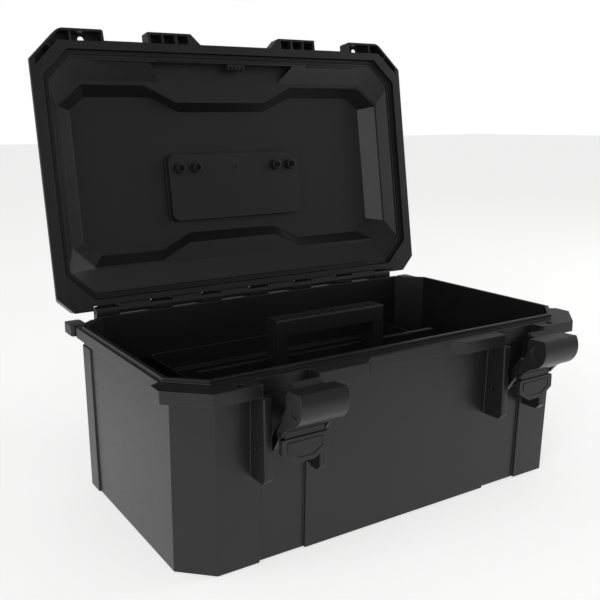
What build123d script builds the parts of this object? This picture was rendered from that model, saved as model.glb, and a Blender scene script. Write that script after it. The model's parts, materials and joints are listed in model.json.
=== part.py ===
from build123d import *
import os

# A moulded toolbox with a lift-out tray: tub, hinged lid, two draw clasps, a folding carry handle.
# Origin: centre of the bottom face. X runs along the box, -Y is the front, +Z is up. Millimetres.
# The lid and all on it are drawn closed, then turned about the hinge to the open rest position.

# Tub
half_length = 235
half_depth = 141
half_depth_bottom = 134
corner_cut = 29
wall = 3
flange_bottom = 166
flange_top = 178
flange_half_length = 240
flange_front = -147
flange_back = 144
lip_top = 182
lip_thickness = 4.5
mouth_half_length = 233
mouth_half_depth = 132
block_front = -159
block_inner_end = 60
block_slope = 12
block_outer_end = 114
ear_inner_end = 169
ear_side = 249
ear_diagonal = 375
ear_back = -143.5
ear_tail = (-108, -103)
back_ear_depth = 28
flange_back_cut = 24
back_ear_inner = 225
back_ear_outer = 243
back_ear_back = 154
pilaster_front = 88
pilaster_back = 112
pilaster_height = 160
pilaster_depth = 1.5
channel_inner = 114.5
channel_outer = 163
channel_depth = 3
ledge_top = 108
ledge_inner = 124
ledge_half_length = 166
ledge_foot = 92

# Padlock holes
padlock_x = 187
padlock_y = -150.5
padlock_radius = 3.6

# Hinge
hinge_y = 151
hinge_z = 184
open_angle = 98.3
knuckle_radius = 6
rod_radius = 2
rod_clearance = 0.05
knuckle_pitch = 65
base_knuckle_length = 26
lid_knuckle_length = 38
knuckle_pairs = 3

# Lid
seam = 0.3
lid_half_length = 250
lid_front_cut = 33.5
lid_back_cut = 12.5
lid_heel = 149.5
lid_heel_start = 210.5
lid_flange_top = 183
lid_wall_front = -139.6
lid_band_top = 196
side_draft = 3.5
lid_lug_start = 166
lid_lug_corner = 216
lug_wall = 2.6
lug_rib_x = 203
lug_radius = 14
lug_corner_rib = (227, -140.5)
lug_cell_end = 244
lug_rib_depth = 15
rim_half_length = 232
rim_half_depth = 130.5
shelf_z = 199
deep_z = 217
lid_wall = 3.5
pad_z = 207
pad_half_length = 91.5
pad_front = -23
pad_back = 57
boss_y = -6
boss_end_z = 200
boss_radius = 4.7
boss_places = (-78, -56, 56, 78)
screw_hole_radius = 1.8
block_cells = (70.5, 87.5, 104)
block_cell_y = -151.5

# Clasps
clasp_x = 140.5
clasp_half_width = 23.5
clasp_gap = 24
fin_thickness = 8
fin_front = -163.5
fin_bottom = 88
fin_bevel = 5
clasp_pivot_y = -150
clasp_pivot_z = 118
clasp_open = 28
tab_pivot_y = -161.8
tab_pivot_z = 146.9
clasp_pin_radius = 2
tab_pin_radius = 1.5
arm_thickness = 5
arm_place = 15
cheek_thickness = 3.2
tab_thickness = 6
tab_length = 28
tab_shoulder = 19
tab_point = 9
tab_hub_radius = 3.4
nose_step = 9

# Carry handle
handle_pivot_y = 3
handle_pivot_z = 217
handle_reach = 38
handle_half_width = 72
handle_arm = 10
grip_depth = 20
grip_height = 12
handle_pin_radius = 2.5
bracket_inner = 50
bracket_outer = 84

# Tray
tray_half_length = 158
tray_half_depth = 127.5
tray_foot_half_depth = 121
tray_floor = 88
tray_rim = 132
tray_wall = 2.4
partition_top = 145
partition_thickness = 6
tray_handle_half_length = 70
tray_handle_top = 188
tray_grip_height = 18
tray_handle_y = -3
tray_handle_depth = 24
tray_post = 13
bit_hole_count = 10
bit_hole_pitch = 12.5
bit_hole_radius = 3.4


def octagon(half_x, front, back, cut_front, cut_back):
    """A rectangle with its four corners cut off, as a list of points."""
    return [
        (-half_x + cut_front, front),
        (half_x - cut_front, front),
        (half_x, front + cut_front),
        (half_x, back - cut_back),
        (half_x - cut_back, back),
        (-half_x + cut_back, back),
        (-half_x, back - cut_back),
        (-half_x, front + cut_front),
    ]


def even_octagon(half_x, half_y, cut):
    """The same outline with equal front and back."""
    return octagon(half_x, -half_y, half_y, cut, cut)


def grown(points, by):
    """The polygon with every side moved outwards by a distance, for a counter-clockwise outline."""
    result = []
    count = len(points)
    for i in range(count):
        before = Vector(*points[i - 1])
        here = Vector(*points[i])
        after = Vector(*points[(i + 1) % count])
        along_in = (here - before).normalized()
        along_out = (after - here).normalized()
        normal_in = Vector(along_in.Y, -along_in.X)
        normal_out = Vector(along_out.Y, -along_out.X)
        bisector = normal_in + normal_out
        reach = by / (1 + normal_in.dot(normal_out))
        result.append((here.X + bisector.X * reach, here.Y + bisector.Y * reach))
    return result


def opened(shape):
    """Turns a piece of the lid from closed to the open rest position."""
    return shape.rotate(Axis((0, hinge_y, hinge_z), (-1, 0, 0)), open_angle)


def save(shape, name):
    shape.label = name
    export_step(shape, f"parts/{name}.step")


os.makedirs("parts", exist_ok=True)

base_knuckles = [i * knuckle_pitch for i in range(-knuckle_pairs, knuckle_pairs + 1)]
lid_knuckles = [(i + 0.5) * knuckle_pitch for i in range(-knuckle_pairs, knuckle_pairs)]
sides = {"left": -1, "right": 1}

# ---------------------------------------------------------------- tub
wall_foot = even_octagon(half_length - 0.5, half_depth_bottom, corner_cut)
wall_head = even_octagon(half_length, half_depth, corner_cut)
cavity_foot = even_octagon(mouth_half_length - 1.5, half_depth_bottom - wall, corner_cut - 2)
cavity_head = even_octagon(mouth_half_length, mouth_half_depth, corner_cut - 2)
lip_outline = grown(cavity_head, lip_thickness)
block_outline = [
    (block_inner_end - block_slope, flange_front),
    (block_inner_end, block_front),
    (block_outer_end, block_front),
    (block_outer_end, -half_depth + 1),
    (block_inner_end - block_slope, -half_depth + 1),
]

with BuildPart() as tub:
    with BuildSketch(Plane.XY):
        Polygon(*wall_foot, align=None)
    with BuildSketch(Plane.XY.offset(flange_bottom)):
        Polygon(*wall_head, align=None)
    loft(ruled=True)
    # Flange, stepped back at the clasps and the corner ears
    with BuildSketch(Plane.XY.offset(flange_bottom)):
        Polygon(*octagon(flange_half_length, ear_back, flange_back, corner_cut, flange_back_cut), align=None)
        with Locations((0, (flange_front + ear_back) / 2)):
            Rectangle(2 * block_outer_end, ear_back - flange_front)
        for side in (-1, 1):
            Polygon(*[(side * x, y) for x, y in block_outline], align=None)
            back_ear_middle = side * (back_ear_inner + back_ear_outer) / 2
            with Locations((back_ear_middle, back_ear_back - back_ear_depth / 2)):
                RectangleRounded(back_ear_outer - back_ear_inner, back_ear_depth, 4)
    extrude(amount=flange_top - flange_bottom)
    # Lip round the mouth
    with BuildSketch(Plane.XY.offset(flange_top)):
        Polygon(*lip_outline, align=None)
    extrude(amount=lip_top - flange_top)
    # Fins beside each clasp, bevelled at the foot
    for side in (-1, 1):
        for place in (-1, 1):
            middle = side * clasp_x + place * (clasp_gap + fin_thickness / 2)
            with BuildSketch(Plane.YZ.offset(middle - fin_thickness / 2)):
                Polygon(
                    (fin_front, flange_bottom),
                    (fin_front, fin_bottom + fin_bevel),
                    (fin_front + fin_bevel, fin_bottom),
                    (-half_depth + 8, fin_bottom),
                    (-half_depth + 8, flange_bottom),
                    align=None,
                )
            extrude(amount=fin_thickness)
    # Corner pilasters on the end walls
    for side in (-1, 1):
        pilaster_x = side * (half_length - 3 + pilaster_depth / 2)
        with Locations((pilaster_x, (pilaster_front + pilaster_back) / 2, 0)):
            Box(
                pilaster_depth + 6,
                pilaster_back - pilaster_front,
                pilaster_height,
                align=(Align.CENTER, Align.CENTER, Align.MIN),
            )
    # Hinge knuckles on posts along the back
    for x in base_knuckles:
        with BuildSketch(Plane.YZ.offset(x - base_knuckle_length / 2)):
            with Locations((hinge_y, hinge_z)):
                Circle(knuckle_radius)
            Polygon(
                (half_depth - 4, flange_bottom - 12),
                (half_depth + 0.5, flange_bottom - 12),
                (hinge_y + knuckle_radius, flange_bottom + 4),
                (hinge_y + knuckle_radius, hinge_z),
                (hinge_y - knuckle_radius, hinge_z),
                (hinge_y - knuckle_radius, flange_top - 1),
                (half_depth - 4, flange_top - 1),
                align=None,
            )
        extrude(amount=base_knuckle_length)
    # Hollow
    with BuildSketch(Plane.XY.offset(wall)):
        Polygon(*cavity_foot, align=None)
    with BuildSketch(Plane.XY.offset(lip_top)):
        Polygon(*cavity_head, align=None)
    loft(ruled=True, mode=Mode.SUBTRACT)
    # Ledges that carry the tray
    for side in (-1, 1):
        with BuildSketch(Plane.YZ.offset(-ledge_half_length)):
            Polygon(
                (side * ledge_inner, ledge_top),
                (side * (mouth_half_depth + 1), ledge_top),
                (side * (mouth_half_depth + 1), ledge_foot),
                (side * ledge_inner, ledge_top - 4),
                align=None,
            )
        extrude(amount=2 * ledge_half_length)
    # Channels under the clasps, with the wall carried round them inside
    for side in (-1, 1):
        channel_middle = side * (channel_inner + channel_outer) / 2
        channel_width = channel_outer - channel_inner
        with Locations((channel_middle, -half_depth_bottom + wall + 1, wall - 0.5)):
            Box(channel_width + 6, 6, fin_bottom, align=(Align.CENTER, Align.CENTER, Align.MIN))
        with BuildSketch(Plane.YZ.offset(channel_middle - channel_width / 2)):
            Polygon(
                (-half_depth_bottom + channel_depth, 0),
                (-half_depth_bottom - 9, 0),
                (-half_depth - 9, flange_bottom - 6),
                (-half_depth + channel_depth + 0.2, flange_bottom - 6),
                align=None,
            )
        extrude(amount=channel_width, mode=Mode.SUBTRACT)
    # Bores for the hinge rod and the clasp pins
    with Locations(Plane.YZ):
        with Locations((hinge_y, hinge_z, 0)):
            Cylinder(rod_radius + rod_clearance, 2 * half_length, mode=Mode.SUBTRACT)
    for side in (-1, 1):
        with Locations(Plane.YZ.offset(side * clasp_x)):
            with Locations((clasp_pivot_y, clasp_pivot_z, 0)):
                Cylinder(
                    clasp_pin_radius + 0.02,
                    2 * (clasp_gap + fin_thickness + 2),
                    mode=Mode.SUBTRACT,
                )
    corner_edges = tub.edges().filter_by(Axis.Z).group_by(Axis.Y)[0]
    fillet(corner_edges, 1.5)
save(tub.part, "tub")

# Ears with the padlock holes, wrapped round the front corners of the flange
ear_outline = [
    (ear_inner_end, ear_back),
    (ear_inner_end, block_front),
    (ear_diagonal + block_front, block_front),
    (ear_side, ear_side - ear_diagonal),
    (ear_side, ear_tail[0]),
    (flange_half_length, ear_tail[1]),
    (flange_half_length, ear_back + corner_cut),
    (flange_half_length - corner_cut, ear_back),
]
for side_name, side in sides.items():
    with BuildPart() as padlock_ear:
        with BuildSketch(Plane.XY.offset(flange_bottom)):
            Polygon(*[(side * x, y) for x, y in ear_outline], align=None)
            with Locations((side * padlock_x, padlock_y)):
                Circle(padlock_radius, mode=Mode.SUBTRACT)
        extrude(amount=flange_top - flange_bottom)
        upright = padlock_ear.edges().filter_by(Axis.Z)
        fillet(upright.filter_by_position(Axis.Y, block_front - 1, block_front + 1), 3)
    save(padlock_ear.part, f"padlock_ear_{side_name}")

# ---------------------------------------------------------------- hinge rod
with BuildPart(Plane.YZ) as hinge_rod:
    with Locations((hinge_y, hinge_z, 0)):
        Cylinder(rod_radius, 2 * base_knuckles[-1] + base_knuckle_length)
    chamfer(hinge_rod.edges().filter_by(GeomType.CIRCLE), 0.4)
save(hinge_rod.part, "hinge_rod")

# ---------------------------------------------------------------- lid
# The panel is pressed outwards in a bow-tie outline, with its waist off centre
panel_shelf = [
    (-191.5, -103),
    (-116, -103),
    (-78, -83),
    (43, -83),
    (83, -103),
    (191.5, -103),
    (219, -79),
    (219, 78),
    (197, 102),
    (78, 102),
    (43, 83.5),
    (-77, 83.5),
    (-114.5, 102),
    (-197, 102),
    (-219, 78),
    (-219, -79),
]
panel_deep = [
    (-183, -92),
    (-104, -92),
    (-67, -74.5),
    (51, -74.5),
    (92, -92),
    (183, -92),
    (202, -77),
    (202, 73),
    (183, 90),
    (88, 90),
    (52, 72),
    (-68, 72),
    (-105, 90),
    (-183, 90),
    (-202, 73),
    (-202, -77),
]
pocket_outline = [(-112, -127), (82, -127), (43, -83), (-78, -83)]
shelf_outline = octagon(221, -107, 105, 27, 27)
rim_outline = even_octagon(rim_half_length, rim_half_depth, corner_cut - 2)
groove_outline = grown(cavity_head, lip_thickness + 0.6)
band_front_cut = lid_front_cut - lid_wall_front + ear_back
band_outline = octagon(lid_half_length, lid_wall_front, flange_back, band_front_cut, lid_back_cut)
band_head_outline = octagon(
    lid_half_length - side_draft,
    lid_wall_front,
    flange_back,
    band_front_cut - side_draft,
    lid_back_cut - side_draft,
)
heel_outline = [
    (lid_heel_start, flange_back - 3),
    (lid_heel_start, lid_heel),
    (lid_half_length + flange_back - lid_back_cut - lid_heel, lid_heel),
    (lid_half_length - lid_back_cut, flange_back),
    (lid_half_length - lid_back_cut, flange_back - 3),
]
lid_block_outline = [
    (block_inner_end - block_slope, flange_front),
    (block_inner_end, block_front),
    (block_outer_end, block_front),
    (block_outer_end, -rim_half_depth - 2),
    (block_inner_end - block_slope, -rim_half_depth - 2),
]
lid_bottom = flange_top + seam
pad_length = 2 * pad_half_length
pad_depth = pad_back - pad_front
pad_middle = (pad_front + pad_back) / 2

with BuildPart() as lid:
    # Flange, blocks and heels
    with BuildSketch(Plane.XY.offset(lid_bottom)):
        Polygon(*octagon(lid_half_length, ear_back, flange_back, lid_front_cut, lid_back_cut), align=None)
        with Locations((0, (flange_front + ear_back) / 2)):
            Rectangle(2 * lid_lug_start, ear_back - flange_front)
    extrude(amount=lid_flange_top - lid_bottom)
    for side in (-1, 1):
        with BuildSketch(Plane.XY.offset(lid_bottom)):
            Polygon(*[(side * x, y) for x, y in lid_block_outline], align=None)
            Polygon(*[(side * x, y) for x, y in heel_outline], align=None)
        extrude(amount=lid_band_top - lid_bottom)
    # Outer shell: a band with drafted ends, then a slope to the shelf, then the pressed panel
    with BuildSketch(Plane.XY.offset(lid_flange_top)):
        Polygon(*band_outline, align=None)
    with BuildSketch(Plane.XY.offset(lid_band_top)):
        Polygon(*band_head_outline, align=None)
    loft(ruled=True)
    with BuildSketch(Plane.XY.offset(lid_band_top)):
        Polygon(*band_head_outline, align=None)
    with BuildSketch(Plane.XY.offset(shelf_z + lid_wall)):
        Polygon(*grown(shelf_outline, lid_wall), align=None)
    loft(ruled=True)
    with BuildSketch(Plane.XY.offset(shelf_z - 2)):
        Polygon(*grown(panel_shelf, lid_wall), align=None)
    with BuildSketch(Plane.XY.offset(deep_z + lid_wall)):
        Polygon(*grown(panel_deep, lid_wall), align=None)
    loft(ruled=True)
    with BuildSketch(Plane.XY.offset(lid_flange_top)):
        Polygon(*grown(pocket_outline, lid_wall), align=None)
    extrude(amount=shelf_z + lid_wall - lid_flange_top)
    # Hinge knuckles on lugs
    for x in lid_knuckles:
        with BuildSketch(Plane.YZ.offset(x - lid_knuckle_length / 2)):
            with Locations((hinge_y, hinge_z)):
                Circle(knuckle_radius)
            Polygon(
                (hinge_y, hinge_z + knuckle_radius),
                (rim_half_depth + 1, hinge_z + knuckle_radius),
                (rim_half_depth + 1, lid_flange_top - 3),
                (hinge_y - 8, lid_flange_top - 4.5),
                (hinge_y, hinge_z - knuckle_radius + 0.2),
                align=None,
            )
        extrude(amount=lid_knuckle_length)
    # Recess for the carry handle, outside
    with BuildSketch(Plane.XY.offset(pad_z + lid_wall)):
        with Locations((0, pad_middle)):
            RectangleRounded(pad_length - 2 * lid_wall, pad_depth - 2 * lid_wall, 6)
    extrude(amount=lid_wall + deep_z - pad_z, mode=Mode.SUBTRACT)
    # Hollow: seal groove, sloped rim, deep panel and flat pocket
    with BuildSketch(Plane.XY.offset(lid_bottom)):
        Polygon(*groove_outline, align=None)
    extrude(amount=hinge_z - lid_bottom, mode=Mode.SUBTRACT)
    with BuildSketch(Plane.XY.offset(hinge_z)):
        Polygon(*rim_outline, align=None)
    with BuildSketch(Plane.XY.offset(shelf_z)):
        Polygon(*shelf_outline, align=None)
    loft(ruled=True, mode=Mode.SUBTRACT)
    with BuildSketch(Plane.XY.offset(shelf_z)):
        Polygon(*panel_shelf, align=None)
    with BuildSketch(Plane.XY.offset(deep_z)):
        Polygon(*panel_deep, align=None)
    loft(ruled=True, mode=Mode.SUBTRACT)
    with BuildSketch(Plane.XY.offset(hinge_z)):
        Polygon(*pocket_outline, align=None)
    extrude(amount=shelf_z - hinge_z, mode=Mode.SUBTRACT)
    # Pad behind the handle recess, with four screw bosses and a centre pip
    with BuildSketch(Plane.XY.offset(pad_z)):
        with Locations((0, pad_middle)):
            RectangleRounded(pad_length, pad_depth, 9)
    extrude(amount=lid_wall)
    with BuildSketch(Plane.XY.offset(pad_z)):
        with Locations((0, pad_middle)):
            RectangleRounded(pad_length, pad_depth, 9)
            RectangleRounded(pad_length - 2 * lid_wall, pad_depth - 2 * lid_wall, 6, mode=Mode.SUBTRACT)
    extrude(amount=deep_z - pad_z + 1)
    with BuildSketch(Plane.XY.offset(boss_end_z)):
        with Locations(*[(x, boss_y) for x in boss_places]):
            Circle(boss_radius)
    extrude(amount=pad_z - boss_end_z + 1)
    with BuildSketch(Plane.XY.offset(pad_z - 2)):
        with Locations((0, boss_y)):
            Circle(2)
    extrude(amount=3)
    with Locations(*[(x, boss_y, boss_end_z) for x in boss_places]):
        Cylinder(screw_hole_radius, 60, mode=Mode.SUBTRACT)
    # Stiffening bars inside the front rim, over the clasps
    for side in (-1, 1):
        with Locations((side * clasp_x, -rim_half_depth + 1, hinge_z)):
            Box(72, 6, 5, align=(Align.CENTER, Align.CENTER, Align.MIN))
    # Blocks hollowed from below, leaving ribs
    for side in (-1, 1):
        for x in block_cells:
            with Locations((side * x, block_cell_y, lid_bottom)):
                Box(14, 9.5, 14, align=(Align.CENTER, Align.CENTER, Align.MIN), mode=Mode.SUBTRACT)
    with Locations(Plane.YZ):
        with Locations((hinge_y, hinge_z, 0)):
            Cylinder(rod_radius + rod_clearance, 2 * half_length, mode=Mode.SUBTRACT)
save(opened(lid.part), "lid")

# Hollow corner blocks of the lid, with ribs and the padlock holes
lug_diagonal = lid_half_length - ear_back - lid_front_cut
lug_outline = [
    (lid_lug_start, ear_back),
    (lid_lug_start, block_front),
    (lid_lug_corner, block_front),
    (lid_half_length, block_front - lid_lug_corner + lid_half_length),
    (lid_half_length, lid_half_length - lug_diagonal),
    (lid_half_length - lid_front_cut, ear_back),
]
for side_name, side in sides.items():
    with BuildPart() as lid_lug:
        with BuildSketch(Plane.XY.offset(lid_bottom)) as lug_face:
            Polygon(*[(side * x, y) for x, y in lug_outline], align=None)
        extrude(amount=lid_band_top - lid_bottom)
        with BuildSketch(Plane.XY.offset(lid_bottom)):
            offset(lug_face.sketch, amount=-lug_wall)
            with Locations((side * (lug_cell_end + 5), block_front / 2)):
                Rectangle(10, -block_front, mode=Mode.SUBTRACT)
        extrude(amount=lid_band_top - lid_bottom - lug_wall, mode=Mode.SUBTRACT)
        with Locations((side * lug_rib_x, (block_front + ear_back) / 2, lid_band_top - 1)):
            Box(2, ear_back - block_front - 1, lug_rib_depth, align=(Align.CENTER, Align.CENTER, Align.MAX))
        with Locations((side * lug_corner_rib[0], lug_corner_rib[1], lid_band_top - 1)):
            Box(
                2,
                10,
                lug_rib_depth,
                rotation=(0, 0, side * 45),
                align=(Align.CENTER, Align.CENTER, Align.MAX),
            )
        with Locations((side * padlock_x, padlock_y, lid_band_top)):
            Cylinder(padlock_radius, 12, mode=Mode.SUBTRACT)
        # The outer end leans in with the band
        with BuildSketch(Plane.XZ.offset(lug_diagonal - lid_half_length)):
            Polygon(
                (side * lid_half_length, lid_flange_top),
                (side * (lid_half_length + 1), lid_flange_top),
                (side * (lid_half_length + 1), lid_band_top),
                (side * (lid_half_length - side_draft), lid_band_top),
                align=None,
            )
        extrude(amount=lid_half_length, mode=Mode.SUBTRACT)
        upright = lid_lug.edges().filter_by(Axis.Z)
        front_corners = upright.filter_by_position(Axis.Y, block_front - 0.1, block_front + 0.1)
        by_reach = front_corners.sort_by(lambda edge: abs(edge.center().X))
        fillet(by_reach[0], 3)
        fillet(by_reach[-1], lug_radius)
    save(opened(lid_lug.part), f"lid_lug_{side_name}")

# Seal strip in the lid's groove
with BuildPart() as lid_gasket:
    with BuildSketch(Plane.XY.offset(lip_top + seam)):
        Polygon(*grown(cavity_head, lip_thickness), align=None)
        Polygon(*grown(cavity_head, 0.4), align=None, mode=Mode.SUBTRACT)
    extrude(amount=hinge_z - lip_top - seam)
save(opened(lid_gasket.part), "lid_gasket")

# Ribbed snap catch inside the lid's front edge
with BuildPart() as front_catch:
    with Locations((0, -127, hinge_z + 1)):
        Box(22, 3, 10, align=(Align.CENTER, Align.MIN, Align.MIN))
    with Locations((0, -124, hinge_z + 1)):
        with GridLocations(5, 1, 5, 1):
            Box(1.6, 4, 8, align=(Align.CENTER, Align.MIN, Align.MIN))
    with Locations((0, -124, hinge_z + 4)):
        Box(22, 3, 1.6, align=(Align.CENTER, Align.MIN, Align.MIN))
save(opened(front_catch.part), "front_catch")

# ---------------------------------------------------------------- carry handle
for side_name, side in sides.items():
    bracket_middle = side * (bracket_inner + bracket_outer) / 2
    with BuildPart() as handle_bracket:
        with BuildSketch(Plane.YZ.offset(bracket_middle - (bracket_outer - bracket_inner) / 2)):
            with BuildLine():
                Polyline(
                    (9.5, pad_z + lid_wall),
                    (-13, pad_z + lid_wall),
                    (-13, 217.5),
                    (-9, 221.5),
                    (3, 223.5),
                )
                RadiusArc((3, 223.5), (9.5, 217), 6.5)
                Line((9.5, 217), (9.5, pad_z + lid_wall))
            make_face()
        extrude(amount=bracket_outer - bracket_inner)
        with Locations((bracket_middle, handle_pivot_y + 2, handle_pivot_z + 0.5)):
            Box(handle_arm + 1, 16, 16, mode=Mode.SUBTRACT)
        with Locations((side * 56, boss_y, pad_z + lid_wall), (side * 78, boss_y, pad_z + lid_wall)):
            Cylinder(1.8, 14, mode=Mode.SUBTRACT)
        with Locations(Plane.YZ.offset(bracket_middle)):
            with Locations((handle_pivot_y, handle_pivot_z, 0)):
                Cylinder(handle_pin_radius + 0.02, 60, mode=Mode.SUBTRACT)
    save(opened(handle_bracket.part), f"handle_bracket_{side_name}")
    with BuildPart(Plane.YZ.offset(bracket_middle)) as handle_pin:
        with Locations((handle_pivot_y, handle_pivot_z, 0)):
            Cylinder(handle_pin_radius, bracket_outer - bracket_inner)
        chamfer(handle_pin.edges().filter_by(GeomType.CIRCLE), 0.5)
    save(opened(handle_pin.part), f"handle_pin_{side_name}")

grip_middle_y = handle_pivot_y + handle_reach
with BuildPart() as carry_handle:
    with Locations((0, grip_middle_y, handle_pivot_z + 0.5)):
        Box(2 * handle_half_width, grip_depth, grip_height)
    fillet(carry_handle.edges().filter_by(Axis.X), 4.5)
    for side in (-1, 1):
        arm_middle = side * (handle_half_width - handle_arm / 2)
        with BuildSketch(Plane.YZ.offset(arm_middle - handle_arm / 2)):
            with Locations((handle_pivot_y, handle_pivot_z)):
                Circle(5.2)
            Polygon(
                (handle_pivot_y, handle_pivot_z - 5),
                (grip_middle_y, handle_pivot_z - 5),
                (grip_middle_y, handle_pivot_z + 5.5),
                (handle_pivot_y, handle_pivot_z + 5),
                align=None,
            )
        extrude(amount=handle_arm)
    # Finger waves under the grip
    with Locations((0, grip_middle_y - grip_depth / 2 - 1.2, handle_pivot_z + 0.5)):
        with GridLocations(24, 1, 4, 1):
            Cylinder(4.5, 30, mode=Mode.SUBTRACT)
    with Locations(Plane.YZ):
        with Locations((handle_pivot_y, handle_pivot_z, 0)):
            Cylinder(handle_pin_radius + 0.07, 200, mode=Mode.SUBTRACT)
handle_axis = Axis((0, handle_pivot_y, handle_pivot_z), (1, 0, 0))
hanging_handle = carry_handle.part.rotate(handle_axis, open_angle - 90)
save(opened(hanging_handle), "carry_handle")

with BuildPart() as handle_screws:
    for x in boss_places:
        with Locations((x, boss_y, boss_end_z)):
            Cylinder(1.75, 213 - boss_end_z, align=(Align.CENTER, Align.CENTER, Align.MIN))
            Cylinder(3.4, 2.2, align=(Align.CENTER, Align.CENTER, Align.MAX))
save(opened(handle_screws.part), "handle_screws")

# ---------------------------------------------------------------- clasps
tab_pivot_rest = Vector(0, tab_pivot_y, tab_pivot_z) - Vector(0, clasp_pivot_y, clasp_pivot_z)
tab_pivot_rest = tab_pivot_rest.rotate(Axis.X, clasp_open) + Vector(0, clasp_pivot_y, clasp_pivot_z)
clasp_axis = Axis((0, clasp_pivot_y, clasp_pivot_z), (1, 0, 0))

for side_name, side in sides.items():
    middle_x = side * clasp_x
    with BuildPart() as clasp:
        # Grip: a rounded bar with a hooked nose over the lid's flange
        with BuildSketch(Plane.YZ.offset(middle_x - clasp_half_width)):
            with BuildLine():
                Polyline(
                    (-170, 198.8),
                    (-152, 188),
                    (-144, 187),
                    (-144, 183.4),
                    (-154.5, 183.4),
                    (-158.8, 176),
                    (-158.8, 153),
                    (-163, 147),
                    (-173, 165),
                )
                ThreePointArc((-173, 165), (-180.2, 184), (-170, 198.8))
            make_face()
        extrude(amount=2 * clasp_half_width)
        # The nose is narrower than the grip
        for place in (-1, 1):
            with Locations((middle_x + place * clasp_half_width, -149, 186)):
                Box(2 * nose_step, 10, 12, mode=Mode.SUBTRACT)
        # Arms down to the pivot, behind the pull tab
        for place in (-1, 1):
            arm_x = middle_x + place * arm_place
            with BuildSketch(Plane.YZ.offset(arm_x - arm_thickness / 2)):
                with Locations((clasp_pivot_y, clasp_pivot_z)):
                    Circle(4.5)
                Polygon(
                    (-154.5, clasp_pivot_z),
                    (-145.5, clasp_pivot_z),
                    (-151, 160),
                    (-158.8, 160),
                    (-158.8, 150),
                    align=None,
                )
            extrude(amount=arm_thickness)
        # Room for the tab's hub, with a cheek at each end to hold its pin
        with Locations(Plane.YZ.offset(middle_x)):
            with Locations((tab_pivot_y, tab_pivot_z, 0)):
                Cylinder(
                    tab_hub_radius + 0.6,
                    2 * (clasp_half_width - cheek_thickness),
                    mode=Mode.SUBTRACT,
                )
        for place in (-1, 1):
            cheek_x = middle_x + place * (clasp_half_width - cheek_thickness / 2)
            with BuildSketch(Plane.YZ.offset(cheek_x - cheek_thickness / 2)):
                with Locations((tab_pivot_y, tab_pivot_z)):
                    Circle(4.2)
                Polygon((-166, 147), (-157.6, 147), (-158.8, 156), (-168.5, 158), align=None)
            extrude(amount=cheek_thickness)
        # Shallow dishes in the ends of the grip
        for place in (-1, 1):
            with Locations((middle_x + place * clasp_half_width, -169.5, 182)):
                Cylinder(7, 2.4, rotation=(0, 90, 0), mode=Mode.SUBTRACT)
        with Locations(Plane.YZ.offset(middle_x)):
            with Locations((clasp_pivot_y, clasp_pivot_z, 0)):
                Cylinder(clasp_pin_radius + 0.06, 60, mode=Mode.SUBTRACT)
            with Locations((tab_pivot_y, tab_pivot_z, 0)):
                Cylinder(tab_pin_radius + 0.02, 60, mode=Mode.SUBTRACT)
    save(clasp.part.rotate(clasp_axis, clasp_open), f"clasp_{side_name}")

    with BuildPart(Plane.YZ.offset(middle_x)) as clasp_pin:
        with Locations((clasp_pivot_y, clasp_pivot_z, 0)):
            Cylinder(clasp_pin_radius, 2 * (clasp_gap + fin_thickness))
        chamfer(clasp_pin.edges().filter_by(GeomType.CIRCLE), 0.4)
    save(clasp_pin.part, f"clasp_pin_{side_name}")

    with BuildPart(Plane.YZ.offset(middle_x)) as tab_pin:
        with Locations((tab_pivot_rest.Y, tab_pivot_rest.Z, 0)):
            Cylinder(tab_pin_radius, 2 * clasp_half_width)
    save(tab_pin.part, f"tab_pin_{side_name}")

    # Pull tab: a shield plate hanging from its pin between the cheeks
    hub_half_length = clasp_half_width - cheek_thickness - 0.4
    tab_front = tab_pivot_rest.Y - tab_thickness / 2 - 1.2
    shield = [
        (-clasp_half_width, -5),
        (-clasp_half_width, -tab_shoulder),
        (-tab_point, -tab_length),
        (tab_point, -tab_length),
        (clasp_half_width, -tab_shoulder),
        (clasp_half_width, -5),
    ]
    with BuildPart() as pull_tab:
        with BuildSketch(Plane.XZ.offset(-tab_front - tab_thickness)):
            Polygon(*[(middle_x + x, tab_pivot_rest.Z + z) for x, z in shield], align=None)
        extrude(amount=tab_thickness)
        fillet(pull_tab.edges().filter_by(Axis.Y), 2)
        with Locations((middle_x, tab_pivot_rest.Y, tab_pivot_rest.Z - 3.5)):
            Box(2 * hub_half_length, 2 * tab_hub_radius - 1.4, 7)
        with Locations(Plane.YZ.offset(middle_x)):
            with Locations((tab_pivot_rest.Y, tab_pivot_rest.Z, 0)):
                Cylinder(tab_hub_radius, 2 * hub_half_length)
                Cylinder(tab_pin_radius + 0.06, 60, mode=Mode.SUBTRACT)
    save(pull_tab.part, f"pull_tab_{side_name}")

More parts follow.
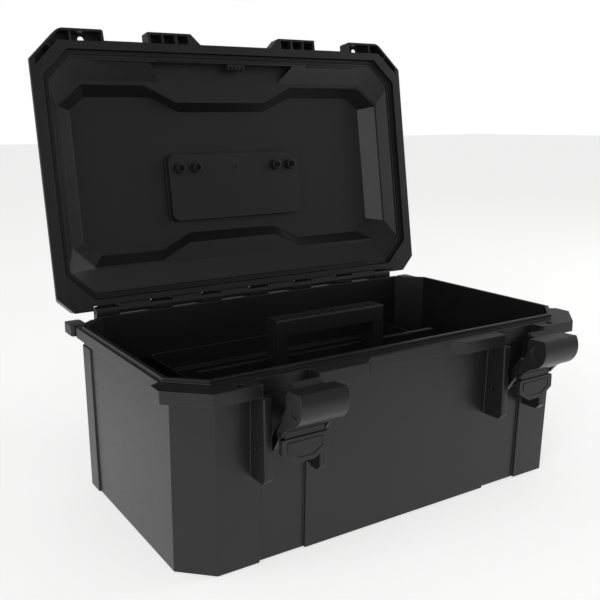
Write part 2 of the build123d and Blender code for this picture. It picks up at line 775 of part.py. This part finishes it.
# ---------------------------------------------------------------- tray
with BuildPart() as tray:
    with BuildSketch(Plane.XY.offset(tray_floor)):
        RectangleRounded(2 * tray_half_length - 12, 2 * tray_foot_half_depth - 6, 8)
    with BuildSketch(Plane.XY.offset(ledge_top)):
        RectangleRounded(2 * tray_half_length - 8, 2 * tray_foot_half_depth, 8)
    loft(ruled=True)
    with BuildSketch(Plane.XY.offset(ledge_top)):
        RectangleRounded(2 * tray_half_length, 2 * tray_half_depth, 8)
    extrude(amount=tray_rim - ledge_top)
    # One long bin in front of the partition and one behind it
    for side in (-1, 1):
        bin_inner = side * partition_thickness / 2
        low_outer = side * (tray_foot_half_depth - 3 - tray_wall)
        high_outer = side * (tray_half_depth - tray_wall)
        with BuildSketch(Plane.XY.offset(tray_floor + tray_wall)):
            with Locations((0, (bin_inner + low_outer) / 2)):
                RectangleRounded(2 * tray_half_length - 17, abs(low_outer - bin_inner), 6)
        extrude(amount=ledge_top, mode=Mode.SUBTRACT)
        with BuildSketch(Plane.XY.offset(ledge_top + tray_wall)):
            with Locations((0, (bin_inner + high_outer) / 2)):
                RectangleRounded(2 * (tray_half_length - tray_wall), abs(high_outer - bin_inner), 6)
        extrude(amount=ledge_top, mode=Mode.SUBTRACT)
    # Raised partition
    with Locations((0, 0, ledge_top)):
        Box(
            2 * tray_half_length - 4,
            partition_thickness,
            partition_top - ledge_top,
            align=(Align.CENTER, Align.CENTER, Align.MIN),
        )
    # Handle: two posts and a grip, with a row of bit holes in its top
    for side in (-1, 1):
        with Locations((side * (tray_handle_half_length - tray_post / 2), tray_handle_y, tray_floor + 1)):
            Box(
                tray_post,
                tray_handle_depth,
                tray_handle_top - tray_floor - 4,
                align=(Align.CENTER, Align.CENTER, Align.MIN),
            )
    with Locations((0, tray_handle_y, tray_handle_top)):
        Box(
            2 * tray_handle_half_length,
            tray_handle_depth,
            tray_grip_height,
            align=(Align.CENTER, Align.CENTER, Align.MAX),
        )
    grip_edges = tray.edges().filter_by(Axis.X).group_by(Axis.Z)[-1]
    fillet(grip_edges, 2)
    with Locations((0, tray_handle_y, tray_handle_top)):
        with GridLocations(bit_hole_pitch, 1, bit_hole_count, 1):
            Cylinder(bit_hole_radius, 24, mode=Mode.SUBTRACT)
save(tray.part, "tray")
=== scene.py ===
import json
import math

import bpy
from mathutils import Matrix, Vector


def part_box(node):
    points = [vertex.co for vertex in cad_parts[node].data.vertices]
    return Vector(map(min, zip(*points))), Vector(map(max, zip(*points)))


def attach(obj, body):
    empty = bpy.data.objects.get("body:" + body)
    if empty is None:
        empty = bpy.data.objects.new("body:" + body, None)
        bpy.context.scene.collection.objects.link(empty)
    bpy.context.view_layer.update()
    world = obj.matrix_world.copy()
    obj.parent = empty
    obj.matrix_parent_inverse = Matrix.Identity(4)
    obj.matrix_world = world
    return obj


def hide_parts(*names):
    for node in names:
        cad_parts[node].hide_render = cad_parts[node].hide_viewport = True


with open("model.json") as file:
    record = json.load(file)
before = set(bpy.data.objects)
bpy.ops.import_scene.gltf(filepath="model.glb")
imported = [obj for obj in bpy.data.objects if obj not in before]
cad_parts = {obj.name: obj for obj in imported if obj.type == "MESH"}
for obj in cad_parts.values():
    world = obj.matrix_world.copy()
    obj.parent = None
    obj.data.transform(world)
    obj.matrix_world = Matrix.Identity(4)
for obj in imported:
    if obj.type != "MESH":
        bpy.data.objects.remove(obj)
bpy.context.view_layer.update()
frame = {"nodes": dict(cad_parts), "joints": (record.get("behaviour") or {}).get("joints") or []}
scene = bpy.context.scene
mm = 0.001
print("frame loaded,", len(frame["nodes"]), "nodes")


# Camera, millimetres: where it stands, the point it looks at, and its slight roll in radians
camera = {
    "from": (-487.335, -716.011, 391.817),
    "at": (203.658, 370.81, 105.581),
    "lens": 48.5485,
    "sensor": 36.0,
    "roll": -0.009,
    "reach": 50,  # metres
}


def placeCamera(c):
    eye = Vector(c["from"]) * mm
    look = Vector(c["at"]) * mm - eye
    turn = look.to_track_quat("-Z", "Y").to_matrix() @ Matrix.Rotation(c["roll"], 3, "Z")
    data = bpy.data.cameras.new("camera")
    data.lens = c["lens"]
    data.sensor_width = c["sensor"]
    data.clip_end = c["reach"]
    obj = bpy.data.objects.new("camera", data)
    scene.collection.objects.link(obj)
    obj.matrix_world = Matrix.Translation(eye) @ turn.to_4x4()
    scene.camera = obj


placeCamera(camera)


def linear(hexColour):
    parts = [int(hexColour[i:i + 2], 16) / 255 for i in (1, 3, 5)]
    flat = [p / 12.92 if p <= 0.04045 else ((p + 0.055) / 1.055) ** 2.4 for p in parts]
    return (*flat, 1.0)


def addNode(tree, kind, settings=None, links=None):
    node = tree.nodes.new(kind)
    for name, value in (settings or {}).items():
        if name in node.inputs:
            node.inputs[name].default_value = value
        else:
            setattr(node, name, value)
    for name, source in (links or {}).items():
        tree.links.new(source, node.inputs[name])
    return node


def mouldedPlastic(name, v):
    mat = bpy.data.materials.new(name)
    mat.use_nodes = True
    tree = mat.node_tree
    tree.nodes.clear()
    out = addNode(tree, "ShaderNodeOutputMaterial")
    where = addNode(tree, "ShaderNodeTexCoord").outputs["Object"]
    # Flow marks of the mould filling, a palm wide
    flow = addNode(tree, "ShaderNodeTexNoise",
                   {"Scale": 1 / (v["flowSize"] * mm), "Detail": 3.0, "Distortion": 0.6}, {"Vector": where})
    # Spark-eroded grain of the mould face
    grain = addNode(tree, "ShaderNodeTexNoise",
                    {"Scale": 1 / (v["grainSize"] * mm), "Detail": 2.0, "Roughness": 0.6}, {"Vector": where})
    stretch = addNode(tree, "ShaderNodeMapping", {"Scale": v["scuffStretch"]}, {"Vector": where})
    scuff = addNode(tree, "ShaderNodeTexNoise",
                    {"Scale": 1 / (v["scuffSize"] * mm), "Detail": 6.0, "Roughness": 0.7},
                    {"Vector": stretch.outputs["Vector"]})
    scuffMask = addNode(tree, "ShaderNodeMapRange",
                        {"From Min": v["scuffFrom"], "From Max": v["scuffTo"]},
                        {"Value": scuff.outputs["Fac"]})
    # Rubbed edges: the rounded normal leaves the flat one only close to an edge
    rounded = addNode(tree, "ShaderNodeBevel", {"samples": 4, "Radius": v["edgeWidth"] * mm})
    flat = addNode(tree, "ShaderNodeNewGeometry")
    facing = addNode(tree, "ShaderNodeVectorMath", {"operation": "DOT_PRODUCT"},
                     {0: rounded.outputs["Normal"], 1: flat.outputs["Normal"]})
    edge = addNode(tree, "ShaderNodeMapRange",
                   {"From Min": v["edgeFrom"], "From Max": v["edgeTo"]}, {"Value": facing.outputs["Value"]})
    patches = addNode(tree, "ShaderNodeMapRange",
                      {"From Min": v["wornFrom"], "From Max": v["wornTo"]}, {"Value": flow.outputs["Fac"]})
    worn = addNode(tree, "ShaderNodeMath", {"operation": "MULTIPLY"},
                   {0: edge.outputs["Result"], 1: patches.outputs["Result"]})
    tone = addNode(tree, "ShaderNodeMix", {"data_type": "RGBA"}, {"Factor": flow.outputs["Fac"]})
    tone.inputs["A"].default_value = linear(v["dark"])
    tone.inputs["B"].default_value = linear(v["light"])
    wear = addNode(tree, "ShaderNodeMix", {"data_type": "RGBA"}, {"Factor": worn.outputs["Value"]})
    tree.links.new(tone.outputs["Result"], wear.inputs["A"])
    wear.inputs["B"].default_value = linear(v["rubbed"])
    rough = addNode(tree, "ShaderNodeMapRange",
                    {"To Min": v["roughness"], "To Max": v["roughness"] + v["scuffRoughness"]},
                    {"Value": scuffMask.outputs["Result"]})
    bump = addNode(tree, "ShaderNodeBump",
                   {"Strength": v["grainStrength"], "Distance": v["grainDepth"] * mm},
                   {"Height": grain.outputs["Fac"]})
    wave = addNode(tree, "ShaderNodeBump", {"Strength": v["waveStrength"], "Distance": v["waveDepth"] * mm},
                   {"Height": flow.outputs["Fac"], "Normal": bump.outputs["Normal"]})
    shader = addNode(tree, "ShaderNodeBsdfPrincipled",
                     {"IOR": v["ior"], "Specular IOR Level": v["specular"]},
                     {"Base Color": wear.outputs["Result"], "Roughness": rough.outputs["Result"],
                      "Normal": wave.outputs["Normal"]})
    tree.links.new(shader.outputs["BSDF"], out.inputs["Surface"])
    return mat


# Black polypropylene and nylon, moulded in a spark-eroded tool: satin black, with broad soft
# reflections, a fine grain, faint scuffs, and edges rubbed a little greyer. Sizes are millimetres.
plastic = {
    "dark": "#19191a", "light": "#202022", "rubbed": "#343436",
    "flowSize": 70.0, "waveStrength": 0.25, "waveDepth": 1.0,
    "grainSize": 1.1, "grainStrength": 0.35, "grainDepth": 0.12,  # coarser than real, so that it shows
    "scuffSize": 14.0, "scuffStretch": (1.0, 1.0, 5.0), "scuffFrom": 0.56, "scuffTo": 0.74,
    "scuffRoughness": 0.12,
    "edgeWidth": 1.2, "edgeFrom": 0.99, "edgeTo": 0.75, "wornFrom": 0.35, "wornTo": 0.65,
    "roughness": 0.36, "ior": 1.49, "specular": 0.4,
}
tubPlastic = mouldedPlastic("tubPolypropylene", plastic)
lidPlastic = mouldedPlastic("lidPolypropylene", plastic)
trayPlastic = mouldedPlastic("trayPolypropylene", plastic)
claspPlastic = mouldedPlastic("claspNylon", plastic)
print("plastics ready")


# Limits for cleaning and softening a moulding's mesh
meshing = {
    "weld": 0.01,  # points closer than this are one
    "flat": 0.6,  # degrees: faces nearer than this to one plane are one face
    "curve": 26,  # degrees: shaded as one curve below this
    "sharp": 33,  # degrees: edges rounded above this
    "dressed": 30,  # degrees: as curve, for the small pieces
    "segments": 2,
}


def selectOnly(obj):
    bpy.ops.object.select_all(action="DESELECT")
    obj.select_set(True)
    bpy.context.view_layer.objects.active = obj


def applyModifiers(obj):
    selectOnly(obj)
    for m in list(obj.modifiers):
        bpy.ops.object.modifier_apply(modifier=m.name)


def cleanCopy(nodeName):
    mesh = frame["nodes"][nodeName].data.copy()
    obj = bpy.data.objects.new(nodeName + "Copy", mesh)
    scene.collection.objects.link(obj)
    selectOnly(obj)
    bpy.ops.mesh.customdata_custom_splitnormals_clear()
    bpy.ops.object.mode_set(mode="EDIT")
    bpy.ops.mesh.select_all(action="SELECT")
    bpy.ops.mesh.remove_doubles(threshold=meshing["weld"] * mm)
    bpy.ops.object.mode_set(mode="OBJECT")
    return obj


# A moulding: its CAD nodes made one, with every sharp edge rounded as the tool leaves it
def moulded(name, v):
    piece = cleanCopy(v["nodes"][0])
    for other in v["nodes"][1:]:
        extra = cleanCopy(other)
        join = piece.modifiers.new("join", "BOOLEAN")
        join.operation = "UNION"
        join.solver = "EXACT"
        join.object = extra
        applyModifiers(piece)
        bpy.data.objects.remove(extra)
    selectOnly(piece)
    bpy.ops.object.mode_set(mode="EDIT")
    bpy.ops.mesh.select_all(action="SELECT")
    bpy.ops.mesh.remove_doubles(threshold=meshing["weld"] * mm)
    bpy.ops.mesh.dissolve_limited(angle_limit=math.radians(meshing["flat"]))
    bpy.ops.object.mode_set(mode="OBJECT")
    bpy.ops.object.shade_smooth_by_angle(angle=math.radians(meshing["curve"]))
    soft = piece.modifiers.new("soft", "BEVEL")
    soft.width = v["edge"] * mm
    soft.segments = meshing["segments"]
    soft.limit_method = "ANGLE"
    soft.angle_limit = math.radians(meshing["sharp"])
    soft.use_clamp_overlap = False
    soft.harden_normals = True
    applyModifiers(piece)
    piece.name = name
    piece.data.materials.clear()
    piece.data.materials.append(v["material"])
    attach(piece, v["body"])
    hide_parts(*v["nodes"])
    return piece


# "edge" is the width of the rounding, millimetres
softened = {
    "tubMoulding": {"nodes": ("tub", "padlock_ear_left", "padlock_ear_right"), "body": "base",
                    "slot": "tub_plastic", "edge": 0.7, "material": tubPlastic},
    "lidMoulding": {"nodes": ("lid", "lid_lug_left", "lid_lug_right", "front_catch"), "body": "lid",
                    "slot": "lid_plastic", "edge": 0.5, "material": lidPlastic},
    "trayMoulding": {"nodes": ("tray",), "body": "tray", "slot": "tray_plastic", "edge": 0.6,
                     "material": trayPlastic},
    "handleMoulding": {"nodes": ("carry_handle",), "body": "carry_handle", "slot": "handle_plastic",
                       "edge": 0.6, "material": claspPlastic},
}
for side in ("left", "right"):
    softened["clasp" + side.title()] = {"nodes": ("clasp_" + side,), "body": "clasp_" + side,
                                        "slot": "clasp_plastic", "edge": 0.45, "material": claspPlastic}
    softened["pullTab" + side.title()] = {"nodes": ("pull_tab_" + side,), "body": "pull_tab_" + side,
                                          "slot": "tab_plastic", "edge": 0.4, "material": claspPlastic}
    softened["bracket" + side.title()] = {"nodes": ("handle_bracket_" + side,), "body": "lid",
                                          "slot": "handle_plastic", "edge": 0.3, "material": claspPlastic}
for name, v in softened.items():
    moulded(name, v)
print("mouldings softened")


def satinSteel(name, v):
    mat = bpy.data.materials.new(name)
    mat.use_nodes = True
    tree = mat.node_tree
    shader = tree.nodes["Principled BSDF"]
    where = addNode(tree, "ShaderNodeTexCoord").outputs["Object"]
    along = addNode(tree, "ShaderNodeMapping", {"Scale": v["lineStretch"]}, {"Vector": where})
    drawn = addNode(tree, "ShaderNodeTexNoise",
                    {"Scale": 1 / (v["lineWidth"] * mm), "Detail": 3.0}, {"Vector": along.outputs["Vector"]})
    rough = addNode(tree, "ShaderNodeMapRange",
                    {"To Min": v["roughness"] - v["smoother"], "To Max": v["roughness"] + v["rougher"]},
                    {"Value": drawn.outputs["Fac"]})
    tone = addNode(tree, "ShaderNodeMix", {"data_type": "RGBA"}, {"Factor": drawn.outputs["Fac"]})
    tone.inputs["A"].default_value = linear(v["dark"])
    tone.inputs["B"].default_value = linear(v["light"])
    lines = addNode(tree, "ShaderNodeBump",
                    {"Strength": v["lineStrength"], "Distance": v["lineDepth"] * mm},
                    {"Height": drawn.outputs["Fac"]})
    shader.inputs["Metallic"].default_value = 1.0
    tree.links.new(tone.outputs["Result"], shader.inputs["Base Color"])
    tree.links.new(rough.outputs["Result"], shader.inputs["Roughness"])
    tree.links.new(lines.outputs["Normal"], shader.inputs["Normal"])
    return mat


# Black-oxide steel: dark metal with a dull sheen and faint drawing lines, coarser than real ones
# so that they show
steel = {
    "dark": "#1c1c1d", "light": "#2b2b2c", "lineWidth": 0.8, "lineStretch": (0.05, 1.0, 1.0),
    "lineStrength": 0.2, "lineDepth": 0.05, "roughness": 0.42, "smoother": 0.08, "rougher": 0.1,
}
# Moulded rubber seal: a deeper black than the plastic, and duller
sealRubber = {
    **plastic, "dark": "#141414", "light": "#191919", "rubbed": "#222222",
    "roughness": 0.55, "scuffRoughness": 0.1, "ior": 1.5,
}
blackSteel = satinSteel("blackOxideSteel", steel)
rubber = mouldedPlastic("sealRubber", sealRubber)
print("steel and rubber ready")


# Pieces of the lid are modelled with it shut, then turned about its hinge to where it rests open
lidHinge = [j for j in frame["joints"] if j["name"] == "lid_hinge"][0]
hingePoint = Vector(lidHinge["pos_m"])
openDegrees = 98.3
openTurn = (Matrix.Translation(hingePoint)
            @ Matrix.Rotation(-math.radians(openDegrees), 4, "X")
            @ Matrix.Translation(-hingePoint))


def octagonPoints(halfX, halfY, cut, z):
    q = [(halfX - cut, -halfY), (halfX, -halfY + cut), (halfX, halfY - cut), (halfX - cut, halfY)]
    return [(x, y, z) for x, y in q] + [(-x, y, z) for x, y in reversed(q)]


# A face on the points, cut to a ring and raised, its edges rounded
def raisedRing(name, v):
    points = v["points"]
    bpy.ops.object.select_all(action="DESELECT")
    bpy.ops.mesh.primitive_circle_add(vertices=len(points), radius=1, fill_type="NGON")
    obj = bpy.context.object
    obj.name = name
    for vertex, p in zip(obj.data.vertices, points):
        vertex.co = Vector(p) * mm
    bpy.ops.object.mode_set(mode="EDIT")
    bpy.ops.mesh.select_all(action="SELECT")
    bpy.ops.mesh.inset(thickness=v["width"] * mm, use_even_offset=True)
    bpy.ops.mesh.delete(type="FACE")
    bpy.ops.mesh.select_all(action="SELECT")
    bpy.ops.mesh.extrude_region_move(TRANSFORM_OT_translate={"value": Vector(v["raise"]) * mm})
    bpy.ops.mesh.select_all(action="SELECT")
    bpy.ops.mesh.normals_make_consistent(inside=False)
    bpy.ops.object.mode_set(mode="OBJECT")
    soft = obj.modifiers.new("soft", "BEVEL")
    soft.width = v["edge"] * mm
    soft.segments = meshing["segments"]
    soft.limit_method = "ANGLE"
    applyModifiers(obj)
    return obj


def dress(obj, bodyName, material, turned=False):
    if turned:
        obj.data.transform(openTurn)
    obj.data.materials.clear()
    obj.data.materials.append(material)
    selectOnly(obj)
    bpy.ops.object.shade_smooth_by_angle(angle=math.radians(meshing["dressed"]))
    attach(obj, bodyName)


def block(centre, size):
    bpy.ops.object.select_all(action="DESELECT")
    bpy.ops.mesh.primitive_cube_add(size=1, location=[place * mm for place in centre])
    obj = bpy.context.object
    obj.scale = [side * mm for side in size]
    bpy.ops.object.transform_apply(location=True, rotation=True, scale=True)
    return obj


def joined(name, parts):
    selectOnly(parts[0])
    for p in parts[1:]:
        p.select_set(True)
    bpy.ops.object.join()
    parts[0].name = name
    return parts[0]


# Seal with two beads, and the ridge inside the lid's rim; "grow" is how far a ring starts outside
# the tub's mouth
mouth = {"halfX": 233.0, "halfY": 132.0, "cut": 27.0}
sealBase = {"grow": 4.5, "width": 4.1, "top": 184.0, "height": 1.0, "edge": 0.3}
sealOuterBead = {"grow": 4.5, "width": 1.1, "top": 184.0, "height": 1.7, "edge": 0.3}
sealInnerBead = {"grow": 1.5, "width": 1.1, "top": 184.0, "height": 1.7, "edge": 0.3}
rimRidge = {"grow": -0.7, "width": 2.2, "top": 186.0, "height": 3.2, "edge": 0.4}


def mouthRing(name, v):
    evenCut = mouth["cut"] + (2 - math.sqrt(2)) * v["grow"]  # keeps the corner parallel as it grows
    points = octagonPoints(mouth["halfX"] + v["grow"], mouth["halfY"] + v["grow"], evenCut, v["top"])
    ring = {"points": points, "width": v["width"], "raise": (0, 0, -v["height"]), "edge": v["edge"]}
    return raisedRing(name, ring)


seal = joined("sealStrip", [
    mouthRing("sealBase", sealBase),
    mouthRing("sealOuterBead", sealOuterBead),
    mouthRing("sealInnerBead", sealInnerBead),
])
dress(seal, "lid", rubber, turned=True)
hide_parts("lid_gasket")
ridge = mouthRing("rimRidge", rimRidge)
dress(ridge, "lid", lidPlastic, turned=True)
print("seal and ridge ready")


# Raised frame on each pull tab's face, with its heights taken from the tab's pivot
tabPanel = {
    "pivot": 137.977, "halfWidth": 18.5, "top": -8.5, "shoulder": -17.5, "point": 8.0, "foot": -24.5,
    "width": 1.3, "rise": 0.7, "sunk": 0.1, "edge": 0.25,
}


def tabOutline(middle, front, t):
    half = [(t["halfWidth"], t["top"]), (t["halfWidth"], t["shoulder"]), (t["point"], t["foot"])]
    shape = [(-x, z) for x, z in half] + list(reversed(half))
    return [(middle + x, front + t["sunk"], t["pivot"] + z) for x, z in shape]


for sideName in ("left", "right"):
    low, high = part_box("pull_tab_" + sideName)
    middle = (low.x + high.x) / 2 / mm
    points = tabOutline(middle, low.y / mm, tabPanel)
    frameRing = raisedRing("tabFrame" + sideName.title(),
                           {"points": points, "width": tabPanel["width"],
                            "raise": (0, -tabPanel["rise"], 0), "edge": tabPanel["edge"]})
    dress(frameRing, "pull_tab_" + sideName, claspPlastic)
print("tab frames ready")


# Four handle screws, each with a cross cut in its head
screwHead = {
    "places": (-78, -56, 56, 78), "y": -6.0, "face": 197.8, "length": 3.8, "slot": 0.9, "depth": 1.1,
    "edge": 0.45,
}
screws = moulded("bracketScrews", {"nodes": ("handle_screws",), "body": "lid", "slot": "screw_steel",
                                   "edge": screwHead["edge"], "material": blackSteel})
cutters = []
for x in screwHead["places"]:
    for long, wide in ((screwHead["length"], screwHead["slot"]), (screwHead["slot"], screwHead["length"])):
        centre = (x, screwHead["y"], screwHead["face"])
        cutters.append(block(centre, (long, wide, 2 * screwHead["depth"])))
for cutter in cutters:
    cutter.data.transform(openTurn)
    cut = screws.modifiers.new("cross", "BOOLEAN")
    cut.operation = "DIFFERENCE"
    cut.solver = "EXACT"
    cut.object = cutter
    applyModifiers(screws)
    bpy.data.objects.remove(cutter)

print("screws ready")


# Thin strips on the lid, in front of the tub's hinge knuckles
knuckleShade = {
    "pitch": 65.0, "pairs": 3, "length": 21.0, "near": 144.75, "far": 143.9, "low": 178.6,
    "high": 190.0, "edge": 0.2,
}
k = knuckleShade
shade = block((0, (k["near"] + k["far"]) / 2, (k["low"] + k["high"]) / 2),
              (k["length"], k["near"] - k["far"], k["high"] - k["low"]))
soft = shade.modifiers.new("soft", "BEVEL")
soft.width = k["edge"] * mm
soft.segments = meshing["segments"]
applyModifiers(shade)
shades = []
for i in range(-k["pairs"], k["pairs"] + 1):
    one = bpy.data.objects.new("shade", shade.data.copy())
    scene.collection.objects.link(one)
    one.data.transform(Matrix.Translation((i * k["pitch"] * mm, 0, 0)))
    shades.append(one)
bpy.data.objects.remove(shade)
dress(joined("knuckleShades", shades), "lid", lidPlastic, turned=True)

# Thick collars round the four screws, inside the lid
boss = {
    "places": screwHead["places"], "y": screwHead["y"], "radius": 6.2, "bore": 3.9, "face": 200.6,
    "foot": 207.2, "sides": 32, "edge": 0.8,
}
turns = [2 * math.pi * a / boss["sides"] for a in range(boss["sides"])]
rings = []
for x in boss["places"]:
    circle = [(x + boss["radius"] * math.cos(turn), boss["y"] + boss["radius"] * math.sin(turn),
               boss["foot"]) for turn in turns]
    rings.append(raisedRing("bossRing", {"points": circle, "width": boss["radius"] - boss["bore"],
                                         "raise": (0, 0, boss["face"] - boss["foot"]),
                                         "edge": boss["edge"]}))
bosses = joined("screwBosses", rings)
dress(bosses, "lid", lidPlastic, turned=True)

print("shades and bosses ready")


# The pins and the hinge rod stay CAD nodes and turn to steel
for name, obj in frame["nodes"].items():
    for s in obj.material_slots:
        s.material = blackSteel if "pin" in name or "rod" in name else claspPlastic
print("materials done")


# Studio, metres: pale paper, and a sky that is brightest low down. The camera sees even ones.
studio = {
    "floorColour": "#f2f2f1", "floorSize": 30, "floorDrop": 0.0005, "floorRoughness": 0.95,
    # The glow strengths and distances below paint a pool of light into the paper round the box; seenGlow is
    # the even glow the camera sees
    "paintedPoolGlow": 0.62, "paintedPoolFarGlow": 0.05, "seenGlow": 0.58, "paintedPoolNear": 0.4, "paintedPoolFar": 1.3,
    "horizon": 0.42, "zenith": 0.3, "zenithFrom": 0.55, "seenSky": 1.0,
}
lamps = {
    "lampLeft": {"at": (-2.4, 0.2, 1.0), "to": (0, 0, 0.25), "size": (1.4, 1.8), "watts": 6.0},
    "lampRight": {"at": (2.2, -0.6, 1.0), "to": (0, 0, 0.25), "size": (1.0, 1.6), "watts": 12.0},
    "lampFront": {"at": (-1.83, -1.19, 0.65), "to": (0.2, 0.19, 0.32), "size": (0.8, 1.5), "watts": 11.0},
}
bpy.ops.mesh.primitive_plane_add(size=studio["floorSize"], location=(0, 0, -studio["floorDrop"]))
floor = bpy.context.object
floor.name = "floor"
floorPaper = bpy.data.materials.new("matPaper")
floorPaper.use_nodes = True
paper = floorPaper.node_tree.nodes["Principled BSDF"]
paper.inputs["Base Color"].default_value = linear(studio["floorColour"])
paper.inputs["Roughness"].default_value = studio["floorRoughness"]
paper.inputs["Specular IOR Level"].default_value = 0.0
paper.inputs["Emission Color"].default_value = (1, 1, 1, 1)
# Painted light pool: the paper's own glow is brightest under the box and fades with distance, and the camera
# still sees pale paper
paperTree = floorPaper.node_tree
spot = addNode(paperTree, "ShaderNodeTexCoord").outputs["Object"]
away = addNode(paperTree, "ShaderNodeVectorMath", {"operation": "LENGTH"}, {0: spot})
paintedLightPool = addNode(paperTree, "ShaderNodeMapRange",
               {"From Min": studio["paintedPoolNear"], "From Max": studio["paintedPoolFar"],
                "To Min": studio["paintedPoolGlow"], "To Max": studio["paintedPoolFarGlow"]},
               {"Value": away.outputs["Value"]})
seen = addNode(paperTree, "ShaderNodeLightPath")
glow = addNode(paperTree, "ShaderNodeMix", {"data_type": "FLOAT"},
               {"Factor": seen.outputs["Is Camera Ray"]})
paperTree.links.new(paintedLightPool.outputs["Result"], glow.inputs["A"])
glow.inputs["B"].default_value = studio["seenGlow"]
paperTree.links.new(glow.outputs["Result"], paper.inputs["Emission Strength"])
floor.data.materials.append(floorPaper)
print("floor ready")

world = bpy.data.worlds.new("studio")
scene.world = world
world.use_nodes = True
sky = world.node_tree
sky.nodes.clear()
direction = addNode(sky, "ShaderNodeTexCoord").outputs["Generated"]
height = addNode(sky, "ShaderNodeSeparateXYZ", {}, {"Vector": direction}).outputs["Z"]
dome = addNode(sky, "ShaderNodeMapRange",
               {"From Min": 0.0, "From Max": studio["zenithFrom"],
                "To Min": studio["horizon"], "To Max": studio["zenith"]}, {"Value": height})
behind = addNode(sky, "ShaderNodeBackground", {"Color": (1, 1, 1, 1), "Strength": studio["seenSky"]})
around = addNode(sky, "ShaderNodeBackground", {"Color": (1, 1, 1, 1)}, {"Strength": dome.outputs["Result"]})
path = addNode(sky, "ShaderNodeLightPath")
mix = addNode(sky, "ShaderNodeMixShader")
sky.links.new(path.outputs["Is Camera Ray"], mix.inputs[0])
sky.links.new(around.outputs[0], mix.inputs[1])
sky.links.new(behind.outputs[0], mix.inputs[2])
addNode(sky, "ShaderNodeOutputWorld", {}, {"Surface": mix.outputs[0]})


def softbox(name, v):
    data = bpy.data.lights.new(name, "AREA")
    data.shape = "RECTANGLE"
    data.size, data.size_y = v["size"]
    data.energy = v["watts"]
    obj = bpy.data.objects.new(name, data)
    scene.collection.objects.link(obj)
    obj.location = v["at"]
    obj.rotation_euler = (Vector(v["to"]) - Vector(v["at"])).to_track_quat("-Z", "Y").to_euler()


for name, lamp in lamps.items():
    softbox(name, lamp)
scene.view_settings.view_transform = "Standard"
print("studio ready")
